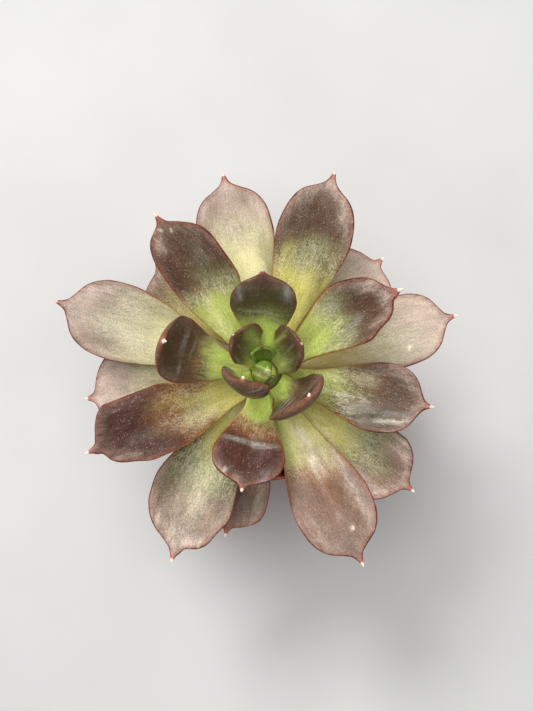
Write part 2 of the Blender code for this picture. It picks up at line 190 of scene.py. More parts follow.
# The skin's colours: sRGB red, green and blue in 0 to 255
COLORS = {
    "lime": (202, 224, 112),
    "spring": (188, 198, 108),
    "straw": (214, 205, 118),
    "butter": (230, 222, 168),
    "khaki": (164, 148, 90),
    "sage": (138, 140, 100),
    "drab": (134, 128, 88),
    "olive": (108, 94, 58),
    "bronze": (82, 70, 20),
    "moss": (110, 118, 54),
    "fern": (92, 128, 18),
    "rust": (132, 88, 52),
    "sand": (206, 196, 160),
    "stone": (190, 180, 154),
    "rose": (182, 162, 146),
    "taupe": (154, 137, 120),
    "mauve": (124, 94, 76),
    "umber": (94, 72, 54),
    "dusk": (82, 72, 46),
    "plum": (78, 48, 39),
    # Pale wax bloom, also used for painted sheen along curled margins and towards the point
    "wax_and_sheen": (210, 188, 174),
    # Pale grey for pressed streaks, and for painted sheen and reflection streaks on the glossy leaves
    "grey_sheen_and_streak": (152, 152, 138),
    # Cream for rubbed specks and scratches, and for painted glints and highlights along wet margins
    "cream_glint_and_speck": (246, 234, 212),
}
RIM = (98, 46, 36)
RIM_GLOW = (140, 88, 70)
RIM_FOOT = (190, 130, 66)
POINT = (244, 224, 206)
POINT_ROOT = (176, 104, 90)

# What a leaf's skin has besides its colours, unless its row says otherwise
PLAIN_SKIN = {
    "back": "mauve",  # colour of the underside
    "bloom": 0.4,     # pale wax inside the margins of the outer half and towards the point, partly painted sheen
    "edge": 0.85,     # how strong the red rim is
    "point": 1.0,     # size of the pale point
    "rough": 0.44,
    "grit": 1.0,      # strength of the fine texture
    "tone": 1.0,      # darker or lighter as a whole
}

# What the shiny inner leaves and the buds of the heart have instead
GLOSSY = {"bloom": 0.2, "back": "umber", "edge": 0.4, "rough": 0.3, "grit": 0.6}
BUD = {"bloom": 0, "back": "moss", "edge": 0, "point": 0, "rough": 0.3, "grit": 0.4}


def tint(colors, start, end, kind=PLAIN_SKIN, **others):
    """One skin: foot, middle and outer colour, and where along the leaf the change starts and ends."""
    return {**PLAIN_SKIN, **kind, "colors": colors.split(), "start": start, "end": end, **others}


# The skins, oldest leaf first, the heart's three last
SKINS = (
    tint("straw khaki mauve", 0.25, 0.9),
    # Leaf 2 lies in the shade of the leaves above it, and its darker colours are partly painted shade
    tint("khaki rust umber", 0.3, 0.75, bloom=0.15, tone=1.2),
    tint("butter sand rose", 0.4, 0.85, grit=0.6, tone=1.15),
    tint("butter sand rose", 0.35, 0.8, tone=1.02, grit=0.6),
    tint("straw drab mauve", 0.3, 0.85, tone=1.08),
    tint("butter sand rose", 0.4, 0.85, grit=0.6, rough=0.38),
    tint("straw sage taupe", 0.15, 0.85, tone=1.05),
    tint("khaki stone rose", 0.2, 0.9, tone=1.14, grit=0.6),
    tint("butter stone rose", 0.35, 0.85, tone=0.91, grit=0.7, rough=0.38),
    tint("straw rust mauve", 0.25, 0.66, bloom=0.25, grit=0.8),
    tint("straw drab umber", 0.26, 0.74, bloom=0.5),
    tint("straw rust plum", 0.03, 0.61, bloom=0.2),
    tint("spring olive umber", 0.1, 0.7, bloom=0.3, tone=0.95),
    tint("spring drab umber", 0.28, 0.7, bloom=0.2, tone=1.03),
    tint("lime rust plum", 0.06, 0.66, bloom=0.15, back="plum", rough=0.36, grit=0.8),
    tint("spring sage umber", 0.2, 0.74, bloom=0.4, point=1.4),
    tint("spring olive umber", 0.2, 0.64, GLOSSY, rough=0.32, point=1.5, edge=0.5),
    tint("lime olive umber", -0.1, 0.5, GLOSSY, tone=1.2, point=0.8),
    tint("lime moss dusk", 0.2, 0.7, GLOSSY, point=0.75),
    tint("lime moss umber", 0.2, 0.7, GLOSSY, tone=1.15, point=0.75),
    tint("spring moss umber", -0.15, 0.75, GLOSSY, bloom=0.1, point=0.7),
    tint("spring moss umber", -0.1, 0.75, GLOSSY, bloom=0.1, tone=1.12, point=0.7),
    tint("spring spring moss", 0.15, 0.6, BUD),
    tint("fern fern moss", 0.3, 1.0, BUD, back="fern"),
    tint("fern fern moss", 0.3, 1.0, BUD, edge=0.1, point=0.3),
)

# Soft marks on the blades by leaf number, each one a colour, its strength, where it lies along the leaf
# (0 to 1) and across it (1 on the left margin, -1 on the right one), and its half length and half width in
# millimetres. Two more numbers may follow: how far it lifts the skin in millimetres, and how far it is
# turned from the midrib in degrees
MARKS = {
    1: (("drab", 0.4, 0.72, 0, 6, 4), ("straw", 0.5, 0.33, 0, 5, 3)),
    2: (("taupe", 0.6, 0.72, 0.74, 9, 1.4, 0.1), ("rust", 0.4, 0.88, -0.2, 4, 5)),
    3: (("umber", 0.25, 0.74, -0.1, 5, 0.6, -0.12, 35), ("wax_and_sheen", 0.3, 0.74, 0.3, 6, 4, 0.1)),
    # On leaf 4, the dark bronze band along the right margin is painted shade, where the leaf lies under its
    # neighbour
    4: (("butter", 0.5, 0.58, 0, 7, 3.5), ("wax_and_sheen", 0.3, 0.86, -0.3, 4, 5),
        ("bronze", 0.7, 0.58, -0.75, 7, 2.4)),
    # On leaf 5, the wax band inside the left margin is partly painted sheen, and the cream line on that
    # margin is a painted glint
    5: (("sage", 0.4, 0.6, 0.35, 7, 3, -0.1), ("butter", 0.6, 0.33, -0.5, 6, 3),
        ("wax_and_sheen", 0.7, 0.78, -0.72, 9, 2.6, 0.15), ("wax_and_sheen", 0.5, 0.82, 0.7, 7, 2.2, 0.1),
        ("cream_glint_and_speck", 0.7, 0.8, 0.93, 5, 0.5, 0.1)),
    6: (("mauve", 0.75, 0.64, 0.78, 7, 2.4, -0.12), ("drab", 0.75, 0.52, -0.78, 9, 2.6),
        ("mauve", 0.3, 0.82, 0.4, 5, 3, -0.15), ("mauve", 0.55, 0.88, -0.6, 5, 2.5),
        ("wax_and_sheen", 0.35, 0.66, -0.1, 6, 3, 0.12, 20), ("wax_and_sheen", 0.5, 0.95, 0, 3, 2, 0.1)),
    # On leaf 7, the cream fleck at the left margin near the end is a painted glint, and the pale wax line
    # along the right margin is a painted highlight
    7: (("bronze", 0.95, 0.5, -0.76, 14, 3.8, -0.15), ("umber", 0.7, 0.73, -0.7, 6, 3.4, -0.1),
        ("umber", 0.85, 0.55, 0.78, 9, 3.2, -0.12), ("mauve", 0.6, 0.76, 0.7, 6, 3.4),
        ("butter", 0.7, 0.16, 0, 5, 3), ("sand", 0.4, 0.6, 0.1, 10, 3, 0.2),
        ("wax_and_sheen", 0.45, 0.88, 0.3, 5, 4, 0.15, 60), ("cream_glint_and_speck", 0.8, 0.86, 0.9, 2.2, 0.6, 0.1),
        ("wax_and_sheen", 0.35, 0.86, -0.82, 5, 1.2, 0.1)),
    8: (("khaki", 0.3, 0.5, -0.4, 9, 3.5), ("taupe", 0.5, 0.82, -0.3, 4, 2.5, -0.15),
        ("wax_and_sheen", 0.4, 0.68, 0.3, 8, 3, 0.12), ("taupe", 0.4, 0.93, 0.6, 3, 2),
        ("cream_glint_and_speck", 0.85, 0.7, -0.52, 1.1, 0.6, 0, 40)),
    # On leaf 9, the sunken mauve band inside the left margin is partly painted shade
    9: (("mauve", 0.7, 0.71, 0.64, 8, 2.8, -0.2), ("taupe", 0.5, 0.76, -0.35, 5, 3, -0.12, 30),
        ("drab", 0.65, 0.5, -0.76, 9, 2.6), ("sand", 0.5, 0.62, 0, 7, 3.5, 0.15),
        ("mauve", 0.5, 0.93, -0.5, 3, 2), ("wax_and_sheen", 0.4, 0.84, -0.7, 6, 1.6, 0.1),
        ("wax_and_sheen", 0.55, 0.94, 0.1, 3, 2.5, 0.1)),
    # On leaf 10, the long rose band inside the left margin is painted sheen, and the long cream streak down
    # the middle of the lower half is a painted highlight
    10: (("rose", 0.65, 0.6, 0.68, 14, 1.5, 0.22), ("butter", 0.5, 0.38, 0.65, 7, 2),
         ("spring", 0.7, 0.26, -0.6, 8, 2.4, -0.1), ("cream_glint_and_speck", 0.7, 0.35, 0.15, 10, 2.2, 0.25),
         ("butter", 0.5, 0.32, -0.1, 7, 3.5), ("olive", 0.35, 0.48, -0.66, 6, 1.8, -0.12),
         ("rust", 0.4, 0.57, 0.1, 7, 3, -0.12), ("rose", 0.4, 0.74, -0.6, 6, 2.2, 0.12),
         ("umber", 0.45, 0.93, -0.4, 4, 3, -0.1), ("cream_glint_and_speck", 0.8, 0.81, 0.2, 0.8, 0.6)),
    # On leaf 11, the rose bands along both margins near the end are wax bloom and painted sheen
    11: (("rose", 0.75, 0.86, 0.8, 7, 2, 0.15), ("rose", 0.7, 0.86, -0.8, 7, 2, 0.15),
         ("wax_and_sheen", 0.6, 0.95, 0, 3, 2.5, 0.1), ("umber", 0.6, 0.72, 0.6, 5, 2.4, -0.12),
         ("olive", 0.7, 0.46, -0.72, 11, 2.6, -0.12), ("straw", 0.45, 0.49, 0.6, 7, 2.2),
         ("plum", 0.35, 0.74, 0.1, 6, 4.5, -0.15), ("sage", 0.35, 0.58, -0.1, 6, 4)),
    # On leaf 12, the pale taupe band inside the left margin near the end is a painted highlight, and the
    # faint grey patch is painted sheen
    12: (("butter", 0.45, 0.33, 0.3, 7, 2.5, 0.1), ("straw", 0.5, 0.3, -0.4, 8, 2),
         ("khaki", 0.5, 0.45, -0.6, 8, 2.4), ("plum", 0.5, 0.76, -0.3, 7, 4, -0.15),
         ("plum", 0.5, 0.66, 0.7, 5, 2, -0.12), ("taupe", 0.7, 0.84, 0.84, 7, 1.5, 0.22),
         ("grey_sheen_and_streak", 0.18, 0.63, 0.1, 8, 2.2, 0.1), ("rust", 0.35, 0.56, -0.2, 6, 4),
         ("plum", 0.6, 0.95, 0, 3, 3)),
    # On leaf 13, the thin cream line along the right margin near the end is a painted highlight on a raised
    # edge
    13: (("taupe", 0.4, 0.86, 0.72, 6, 2, 0.1), ("dusk", 1.0, 0.62, -0.62, 9, 3.6, -0.15),
         ("bronze", 0.6, 0.45, -0.62, 5, 2.6), ("cream_glint_and_speck", 0.65, 0.81, -0.66, 7, 0.7, 0.28, 8),
         ("spring", 0.5, 0.28, 0.5, 8, 3), ("sand", 0.35, 0.55, 0.5, 4, 2.5),
         ("plum", 0.4, 0.76, 0.1, 5, 3, -0.1)),
    14: (("plum", 0.75, 0.67, 0.6, 7, 3, -0.15), ("rose", 0.75, 0.88, 0.8, 5, 1.8, 0.14),
         ("butter", 0.4, 0.27, 0.5, 7, 2.5), ("plum", 0.45, 0.77, -0.2, 5, 4, -0.1),
         ("plum", 0.5, 0.7, -0.78, 5, 1.6, -0.1), ("sage", 0.45, 0.56, -0.3, 6, 3.5, 0, 40),
         ("grey_sheen_and_streak", 0.2, 0.72, -0.4, 5, 2.4, 0.1), ("cream_glint_and_speck", 0.8, 0.91, 0.6, 1.3, 0.4, 0, 50),
         ("cream_glint_and_speck", 0.6, 0.88, -0.16, 0.8, 0.35, 0, -20)),
    # On leaf 15, the grey line across the crease is painted sheen on a raised ridge, and the cream fleck at
    # the right margin near the end is a painted highlight
    15: (("rust", 0.6, 0.4, 0.2, 2.6, 9), ("straw", 0.4, 0.17, 0, 3, 4),
         ("grey_sheen_and_streak", 0.6, 0.535, -0.1, 0.9, 11, 0.24), ("plum", 0.5, 0.66, 0, 3.5, 8, -0.14),
         ("plum", 0.5, 0.84, 0.35, 3, 5), ("rose", 0.5, 0.92, -0.8, 2, 1.5, 0.1),
         ("cream_glint_and_speck", 0.85, 0.87, -0.86, 1.8, 0.6, 0.15)),
    # On leaf 16, the thin rose line along the right margin is a painted highlight
    16: (("wax_and_sheen", 0.6, 0.84, 0.66, 5, 2, 0.12), ("wax_and_sheen", 0.45, 0.9, 0, 4, 2.5, 0.1),
         ("spring", 0.6, 0.33, 0.5, 7, 2.2, 0.1), ("sage", 0.6, 0.46, -0.62, 6, 2.4),
         ("plum", 0.5, 0.72, -0.8, 8, 1.3, -0.12), ("rose", 0.6, 0.82, -0.93, 7, 0.7, 0.12),
         ("grey_sheen_and_streak", 0.4, 0.62, -0.3, 3.5, 1.4, 0.1, 30), ("grey_sheen_and_streak", 0.35, 0.54, 0.5, 4, 1.3, 0.1),
         ("plum", 0.5, 0.75, 0.1, 4, 3.5, -0.12), ("spring", 0.35, 0.45, 0.1, 6, 2.5)),
    # On leaf 17, the grey streaks across the middle are painted reflections on slight ridges
    17: (("grey_sheen_and_streak", 0.5, 0.64, -0.4, 1.1, 3.6, 0.12, 6), ("grey_sheen_and_streak", 0.35, 0.54, -0.4, 0.6, 3.5, 0.1),
         ("grey_sheen_and_streak", 0.35, 0.62, 0.45, 0.7, 3, 0.08, -6), ("rust", 0.5, 0.48, 0, 1.5, 4),
         ("khaki", 0.5, 0.45, -0.6, 3, 2.2), ("lime", 0.6, 0.3, -0.6, 6, 3),
         ("plum", 0.4, 0.78, 0.2, 4, 4, -0.1), ("mauve", 0.6, 0.87, 0, 2, 4)),
    18: (("grey_sheen_and_streak", 0.7, 0.46, -0.45, 4.5, 0.35, 0.12, 110), ("grey_sheen_and_streak", 0.65, 0.53, -0.4, 4.5, 0.35, 0.12, 110),
         ("grey_sheen_and_streak", 0.55, 0.4, -0.5, 4, 0.3, 0.1, 110), ("grey_sheen_and_streak", 0.4, 0.6, 0.1, 4, 0.3, 0.1, 70),
         ("lime", 0.6, 0.2, -0.5, 4, 3), ("grey_sheen_and_streak", 0.3, 0.62, 0.45, 3, 0.6, 0.1, 60),
         ("plum", 0.4, 0.75, 0.2, 4, 5)),
    # On leaf 19, the grey bands along both margins near the end are painted sheen
    19: (("grey_sheen_and_streak", 0.5, 0.55, 0.1, 6.5, 0.5, 0.1, 77), ("grey_sheen_and_streak", 0.45, 0.44, -0.65, 3, 0.4, 0.1, 60),
         ("grey_sheen_and_streak", 0.5, 0.8, 0.8, 4, 1, 0.1), ("grey_sheen_and_streak", 0.55, 0.8, -0.8, 4, 1.3, 0.1),
         ("plum", 0.8, 0.92, 0, 3.5, 5)),
    20: (("grey_sheen_and_streak", 0.5, 0.75, 0.85, 8, 1.2), ("grey_sheen_and_streak", 0.5, 0.75, -0.85, 8, 1.2), ("lime", 0.4, 0.3, 0, 6, 6)),
    21: (("spring", 0.6, 0.5, 0.9, 7, 0.7), ("grey_sheen_and_streak", 0.7, 0.6, 0.3, 3, 0.35, 0.1),
         ("grey_sheen_and_streak", 0.5, 0.45, -0.2, 4, 0.35, 0.08), ("dusk", 0.5, 0.55, -0.5, 5, 2.5),
         ("mauve", 0.4, 0.82, -0.3, 3, 3)),
    22: (("lime", 0.5, 0.52, -0.6, 7, 2.4), ("umber", 0.7, 0.72, 0.4, 7, 3),
         ("grey_sheen_and_streak", 0.6, 0.45, 0.7, 6, 0.6, 0.05), ("grey_sheen_and_streak", 0.4, 0.6, 0.1, 3, 0.35, 0.05)),
    24: (("spring", 0.5, 0.6, 0.85, 5, 0.5), ("spring", 0.5, 0.6, -0.85, 5, 0.5),
         ("mauve", 0.8, 0.96, 0, 0.9, 1.0)),
}
# The same on the undersides
BACK_MARKS = {
    24: (("mauve", 0.8, 0.96, 0, 1.2, 0.9), ("spring", 0.5, 0.8, 0.9, 4, 0.4)),
    20: (("grey_sheen_and_streak", 0.5, 0.82, 0.45, 3.5, 0.3, 0.08, 75), ("grey_sheen_and_streak", 0.4, 0.74, 0.4, 3.5, 0.25, 0.08, 80),
         ("grey_sheen_and_streak", 0.45, 0.8, -0.5, 3, 0.3, 0.08, 105), ("dusk", 0.4, 0.7, 0.2, 4, 3)),
    # On leaf 25, the dark fern and moss bands are painted shade in shallow hollows beside its fold, and the
    # thin spring lines are painted highlights on its ridges
    25: (("fern", 0.85, 0.6, -0.7, 6, 1.1, -0.2), ("moss", 0.5, 0.5, 0.7, 5, 0.9, -0.1),
         ("spring", 0.85, 0.6, -0.28, 6, 0.28, 0.2), ("spring", 0.6, 0.55, 0.25, 5, 0.4, 0.15),
         ("mauve", 0.75, 0.8, 0.1, 0.9, 0.6, 0.05), ("mauve", 0.6, 0.62, 0, 0.6, 0.5)),
}

# Drift and bow of the front between a leaf's colours, as shares of its length
FRONT_DRIFT = 0.07
FRONT_BOW = 0.06
SKIN_SHIFT = (0.013, 0.029, 0.007)  # of the textures from leaf to leaf

# Noise octaves, and scales of relief, drift and textures in cells per metre
OCTAVE_STEP = 2.1
OCTAVE_FADE = 0.55
FACETS = 130
WAVES = 110
DRIFT = 60
CLOUDS = 170
MOTTLE = 620
WISPS = 700
DOTS = 1500
FIBRES = 1900
GRAIN = 2300

# Camera, light and plain floor
LENS = 50
CAMERA_PLACE = (0.0003, -0.0309, 0.3946)
CAMERA_TILT = 6
AIM = (0, 0, 0.07)
SKY_COLOR = (0.93, 0.96, 1.0, 1)
SKY_STRENGTH = 0.24
STAGE_HALF = 6
STAGE_GREYS = ((214, 213, 210), (208, 207, 204))

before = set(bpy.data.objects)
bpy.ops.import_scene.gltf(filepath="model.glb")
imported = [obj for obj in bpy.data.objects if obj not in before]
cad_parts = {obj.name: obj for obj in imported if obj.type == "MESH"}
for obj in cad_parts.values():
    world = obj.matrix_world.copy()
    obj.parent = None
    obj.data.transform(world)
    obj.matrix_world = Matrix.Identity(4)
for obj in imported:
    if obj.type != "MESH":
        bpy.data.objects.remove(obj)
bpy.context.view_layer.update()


def linear(color):
    """An sRGB colour of 0 to 255 as linear red, green, blue and alpha."""
    out = []
    for c in color:
        c = c / 255
        out.append(c / 12.92 if c <= 0.04045 else ((c + 0.055) / 1.055) ** 2.4)
    return (*out, 1.0)


def smoothstep(low, high, x):
    t = np.clip((x - low) / (high - low), 0, 1)
    return t * t * (3 - 2 * t)


def smooth_curve(points, u):
    """Values at u of the curve through the given points that never overshoots them."""
    x, y = np.array(points, float).T
    step = np.diff(x)
    slope = np.diff(y) / step
    tangent = np.zeros_like(x)
    tangent[[0, -1]] = slope[[0, -1]]
    for i in range(1, len(x) - 1):
        if slope[i - 1] * slope[i] > 0:
            w1 = 2 * step[i] + step[i - 1]
            w2 = step[i] + 2 * step[i - 1]
            tangent[i] = (w1 + w2) / (w1 / slope[i - 1] + w2 / slope[i])
    k = np.clip(np.searchsorted(x, u, side="right") - 1, 0, len(step) - 1)
    t = (u - x[k]) / step[k]
    return ((2 * t**3 - 3 * t**2 + 1) * y[k] + (t**3 - 2 * t**2 + t) * step[k] * tangent[k]
            + (3 * t**2 - 2 * t**3) * y[k + 1] + (t**3 - t**2) * step[k] * tangent[k + 1])


def stem_radius(height):
    """Radius of the stem at a height above its foot."""
    heights, radii = np.array(STEM_RADII).T * MM
    return np.interp(height, heights, radii)


def from_rosette(points):
    """Points of the leaning rosette's frame, in the object's frame."""
    c, s = math.cos(LEAN), math.sin(LEAN)
    x, y, z = np.moveaxis(points, -1, 0)
    return np.stack([x + STEM_FOOT[0], y * c - z * s + STEM_FOOT[1], y * s + z * c + STEM_FOOT[2]], -1)


def around(count):
    """Angles of the points round a ring."""
    return np.arange(count) / count * 2 * math.pi


def band(low, high, count):
    """Faces between two rings, given by the numbers of their first points."""
    return [(low + k, low + (k + 1) % count, high + (k + 1) % count, high + k) for k in range(count)]


def bands(rings, count, first=0):
    """Faces between rings that follow one another."""
    starts = range(first, first + (rings - 1) * count, count)
    return [face for low in starts for face in band(low, low + count, count)]


def fan(ring, tip, count):
    """Faces between a ring and a single point."""
    return [(ring + k, ring + (k + 1) % count, tip) for k in range(count)]


def closed(rings):
    """Rings flattened to one list, the last ring as its mean."""
    return np.concatenate([rings[:-1].reshape(-1, *rings.shape[2:]), rings[-1].mean(0)[None]])


def lattice_noise(points, seed):
    """Smooth noise of -1 to 1 at an array of points, between scattered values at a unit grid's corners."""
    cell = np.floor(points)
    part = points - cell
    part = part * part * (3 - 2 * part)
    cell = cell.astype(np.int64)
    total = np.zeros(points.shape[:-1])
    for corner in range(8):
        offset = np.array([corner & 1, corner >> 1 & 1, corner >> 2])
        x, y, z = np.moveaxis(cell + offset, -1, 0)
        key = (x * 73856093 ^ y * 19349663 ^ z * 83492791 ^ seed * 6542989) & 0x7FFFFFFF
        key = (key ^ key >> 13) * 1274126177 & 0x7FFFFFFF
        key = (key ^ key >> 16) * 668265263 & 0x7FFFFFFF
        weight = np.where(offset == 1, part, 1 - part).prod(-1)
        total += weight * (key / 0x3FFFFFFF - 1)
    return total


def noise_at(points, scale, seed, octaves):
    """Soft noise of about -1 to 1 at an array of points."""
    total = 0
    for i in range(octaves):
        total = total + lattice_noise(points * scale * OCTAVE_STEP**i, seed + i) * OCTAVE_FADE**i
    return total


def link(name, data):
    obj = bpy.data.objects.new(name, data)
    bpy.context.scene.collection.objects.link(obj)
    return obj


def new_object(name, verts, faces, mat):
    mesh = bpy.data.meshes.new(name)
    mesh.from_pydata(verts, [], faces)
    mesh.shade_smooth()
    mesh.materials.append(mat)
    return link(name, mesh)


def stand_for(obj, node):
    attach(obj, "root")
    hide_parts(node)


# Leaf form


def thickness(leaf):
    """A leaf's greatest thickness."""
    return leaf["plump"] * leaf["width"] * MM


def direction(slope, heading):
    """Unit vectors along +X, turned up by the slope and left by the heading."""
    return np.stack([np.cos(slope) * np.cos(heading), np.cos(slope) * np.sin(heading), np.sin(slope)], -1)


def midrib(leaf):
    """Fine points, slopes and headings along a leaf's midrib, from its foot at the origin out along +X."""
    u = np.linspace(0, 1, MIDRIB_POINTS)
    tip = leaf["rise"] if leaf["tip"] is None else leaf["tip"]
    hook = leaf["hook"] * np.clip((u - 0.7) / 0.3, 0, 1) ** 1.3
    slope = np.radians(leaf["rise"] + (tip - leaf["rise"]) * u ** leaf["bend"] + hook)
    heading = np.radians(leaf["sweep"] * u ** leaf["sweep_power"])
    along = direction(slope, heading)
    steps = (along[1:] + along[:-1]) / 2 * leaf["length"] * MM / (len(u) - 1)
    return u, np.concatenate([np.zeros((1, 3)), np.cumsum(steps, 0)]), slope, heading


def half_width(leaf, side, u):
    """Half of a leaf's width at u, on its left (0) or right (1) side."""
    foot, (at, share), *others = OUTLINE
    points = [foot, (at, share + leaf["belly"] * 0.5)]
    for at, share in others:
        if at < 0.6:
            share = min(1, share + leaf["belly"])
        elif 0.7 < at < 0.92:
            share = min(1, share + leaf["shoulder"][side])
        points.append((at, share))
    return smooth_curve(points, u) * leaf["width"] * MM / 2


def relief(leaf, number, u, across, flat, upper):
    """How far the blade's skin is lifted off its plain form: a shallow channel, waves and pressed facets."""
    size = min(1, leaf["width"] / 22)
    channel = -CHANNEL_DEPTH * np.exp(-(across / CHANNEL_SHARE) ** 2)
    channel *= smoothstep(0.02, 0.2, u) * smoothstep(0.9, 0.6, u)
    facets = FACET_DEPTH * noise_at(flat * (1, 0.6, 1), FACETS, number, 3)
    margin = np.abs(across) ** 4 * smoothstep(0.1, 0.4, u) * smoothstep(1.0, 0.85, u)
    waves = WAVE_DEPTH * noise_at(flat * (1, 1, 0.2), WAVES, number + 31, 2) * margin
    lift = (channel * upper + facets * (0.35 + 0.65 * upper) * smoothstep(1.0, 0.9, u) + waves) * size
    return lift * smoothstep(0.04, 0.14, u)


def soft_marks(leaf, number, flat, upper):
    """Colour, cover and lift of the soft marks on a leaf's upper face and underside."""
    color = np.zeros(flat.shape)
    cover = np.zeros(flat.shape[:2])
    lift = np.zeros(flat.shape[:2])
    marks = [(mark, upper) for mark in MARKS.get(number, ())]
    marks += [(mark, 1 - upper) for mark in BACK_MARKS.get(number, ())]
    for mark, face in marks:
        name, strength, u, v, half_long, half_wide, height, tilt = (*mark, 0, 0)[:8]
        half = half_width(leaf, 0 if v > 0 else 1, np.array([u]))[0]
        dx = flat[..., 0] - v * half
        dy = flat[..., 1] - u * leaf["length"] * MM
        c, s = math.cos(math.radians(tilt)), math.sin(math.radians(tilt))
        far = (dy * c + dx * s) / (half_long * MM)
        wide = (dx * c - dy * s) / (half_wide * MM)
        shape = np.exp(-far**4 - wide**2) * face
        share = strength * shape
        cover += share - cover * share
        fresh = (share / np.maximum(cover, 1e-6))[..., None]
        color += (np.array(linear(COLORS[name])[:3]) - color) * fresh
        lift += shape * height * MM
    return color, cover, lift


def leaf_rings(leaf, number, seat_radius, u, count):
    """Rings of points round a leaf's sections in its own frame, and values for the colours of its skin."""
    fine, points, slopes, headings = midrib(leaf)
    center = np.stack([np.interp(u, fine, points[:, i]) for i in range(3)], -1)
    slope = np.interp(u, fine, slopes)
    heading = np.interp(u, fine, headings)
    along = direction(slope, heading)
    side = np.stack([-np.sin(heading), np.cos(heading), np.zeros_like(heading)], -1)
    up = np.cross(along, side)

    halves = [half_width(leaf, i, u)[:, None] for i in (0, 1)]
    thick = smooth_curve(THICKNESS, u)[:, None] * thickness(leaf)
    thick = np.minimum(thick, 1.7 * (halves[0] + halves[1]) / 2)

    # Once round the section: across is +1 on the left margin and -1 on the right one
    angle = around(count)
    across = np.cos(angle)[None] + 0 * u[:, None]
    left = across > 0
    sign = np.where(left, 1, -1)
    lens = np.sqrt(np.clip(1 - np.abs(across) ** 2.4, 0, 1)) * np.sign(np.sin(angle))
    upper = smoothstep(-0.15, 0.25, lens)
    lens = lens * np.where(lens > 0, ABOVE_MARGIN, BELOW_MARGIN)
    curl = np.radians(np.where(left, leaf["cup"][0], leaf["cup"][1])) * smooth_curve(CUPPING, u)[:, None]
    lop = 1 + leaf["lop"] * sign * np.clip(u[:, None] * 2, 0, 1)
    wide = np.where(left, halves[0], halves[1]) * lop
    turn = curl * np.abs(across)

    flat = np.stack([wide * across, u[:, None] * leaf["length"] * MM + 0 * across, lens * thick], -1)
    paint, cover, lift = soft_marks(leaf, number, flat, upper)
    off = lens * thick + relief(leaf, number, u[:, None], across, flat, upper) + lift
    x = wide * np.sin(turn) / curl * sign - np.sin(turn) * sign * off
    z = wide * (1 - np.cos(turn)) / curl + np.cos(turn) * off

    # The foot is hollowed to the stem, and the tip may lie off to one side
    hollow = seat_radius - np.sqrt(np.maximum(seat_radius**2 - x**2, (0.2 * MM) ** 2))
    hollow = hollow * 0.8 * np.clip(1 - u / 0.12, 0, 1)[:, None]
    x = x + leaf["skew"] * leaf["width"] * MM / 2 * np.clip((u[:, None] - 0.45) / 0.55, 0, 1) ** 1.8
    rings = (center[:, None] + side[:, None] * x[..., None] + up[:, None] * z[..., None]
             - along[:, None] * hollow[..., None])
    return rings, {"along": u[:, None] + 0 * across, "across": across, "upper": upper, "flat": flat,
                   "paint": paint, "cover": cover}


def outline_distance(flat):
    """Distance in the flat blade from each point to the leaf's outline."""
    count = flat.shape[1]
    edge = np.concatenate([flat[:, 0, :2], flat[::-1, count // 2, :2]])
    points = flat[..., :2].reshape(-1, 2)
    best = np.full(len(points), 1.0)
    for a in range(0, len(edge) - 1, 2):
        start, step = edge[a], edge[min(a + 2, len(edge) - 1)] - edge[a]
        share = np.clip((points - start) @ step / max(step @ step, 1e-12), 0, 1)
        best = np.minimum(best, np.hypot(*(points - start - share[:, None] * step).T))
    return best.reshape(flat.shape[:2])


def skin_values(leaf, skin, number, values):
    """Adds what the skin's nodes read at each point of a leaf: its colours, and where they change."""
    u, across, flat = values["along"], values.pop("across"), values["flat"]
    rim = np.hypot(outline_distance(flat), 0.8 * flat[..., 2]) / MM
    drift = noise_at(flat, DRIFT, number + 57, 2) * FRONT_DRIFT
    inward = FRONT_BOW * (1 - np.abs(across))
    point = np.hypot(flat[..., 0], flat[..., 1] - leaf["length"] * MM) / MM
    values["rim"] = rim
    values["point"] = point / (1.6 + 0.04 * leaf["length"]) / max(skin["point"], 0.01)
    values["fade"] = smoothstep(skin["start"], skin["end"], u + drift - inward)
    # Pale wax bloom inside the margins of the outer half and towards the point, partly painted sheen
    wax_and_sheen = np.maximum(smoothstep(5.0, 1.2, rim) * smoothstep(0.5, 0.85, u), 0.6 * smoothstep(0.8, 0.93, u))
    values["bloom"] = wax_and_sheen * skin["bloom"] * values["upper"]
    for name in ("edge", "tone", "rough", "grit"):
        values[name] = np.full_like(u, skin[name])
    for name, color in zip(("foot", "middle", "end", "back"), (*skin["colors"], skin["back"])):
        values[name] = np.zeros_like(flat) + linear(COLORS[color])[:3]
    values["flat"] = flat + np.array(SKIN_SHIFT) * number
    return values


def ring_faces(rings, count, first=0):
    """Faces of a closed loft whose last ring is one point, with a cap of strips at its foot."""
    faces = bands(rings - 1, count, first)
    faces += fan(first + (rings - 2) * count, first + (rings - 1) * count, count)
    for k in range(count // 2):
        strip = [first + (-k) % count, first + count - k - 1, first + k + 1, first + k]
        faces.append(tuple(dict.fromkeys(strip)))
    return faces


def loft_leaf(leaf, number, rings, count):
    """Points in the object's frame and skin values of one leaf."""
    height = FIRST_LEAF + LEAF_PITCH * (number - 1)
    radius = float(stem_radius(height))
    # Rings stand closer towards the tip
    u = 1 - (1 - np.linspace(0, 1, rings)) ** RING_CROWDING
    points, values = leaf_rings(leaf, number, radius, u, count)
    values = skin_values(leaf, SKINS[number - 1], number, values)

    reach = radius + LEAF_SEAT - leaf["sink"] * MM
    reach += thickness(leaf) / 2 * math.sin(math.radians(leaf["rise"]))
    heading = math.radians((GOLDEN_ANGLE * number + leaf["turn"]) % 360)
    c, s = math.cos(heading), math.sin(heading)
    x, y, z = points[..., 0] + reach, points[..., 1], points[..., 2] + height
    world = from_rosette(np.stack([x * c - y * s, x * s + y * c, z], -1))
    return closed(world), {name: closed(array) for name, array in values.items()}


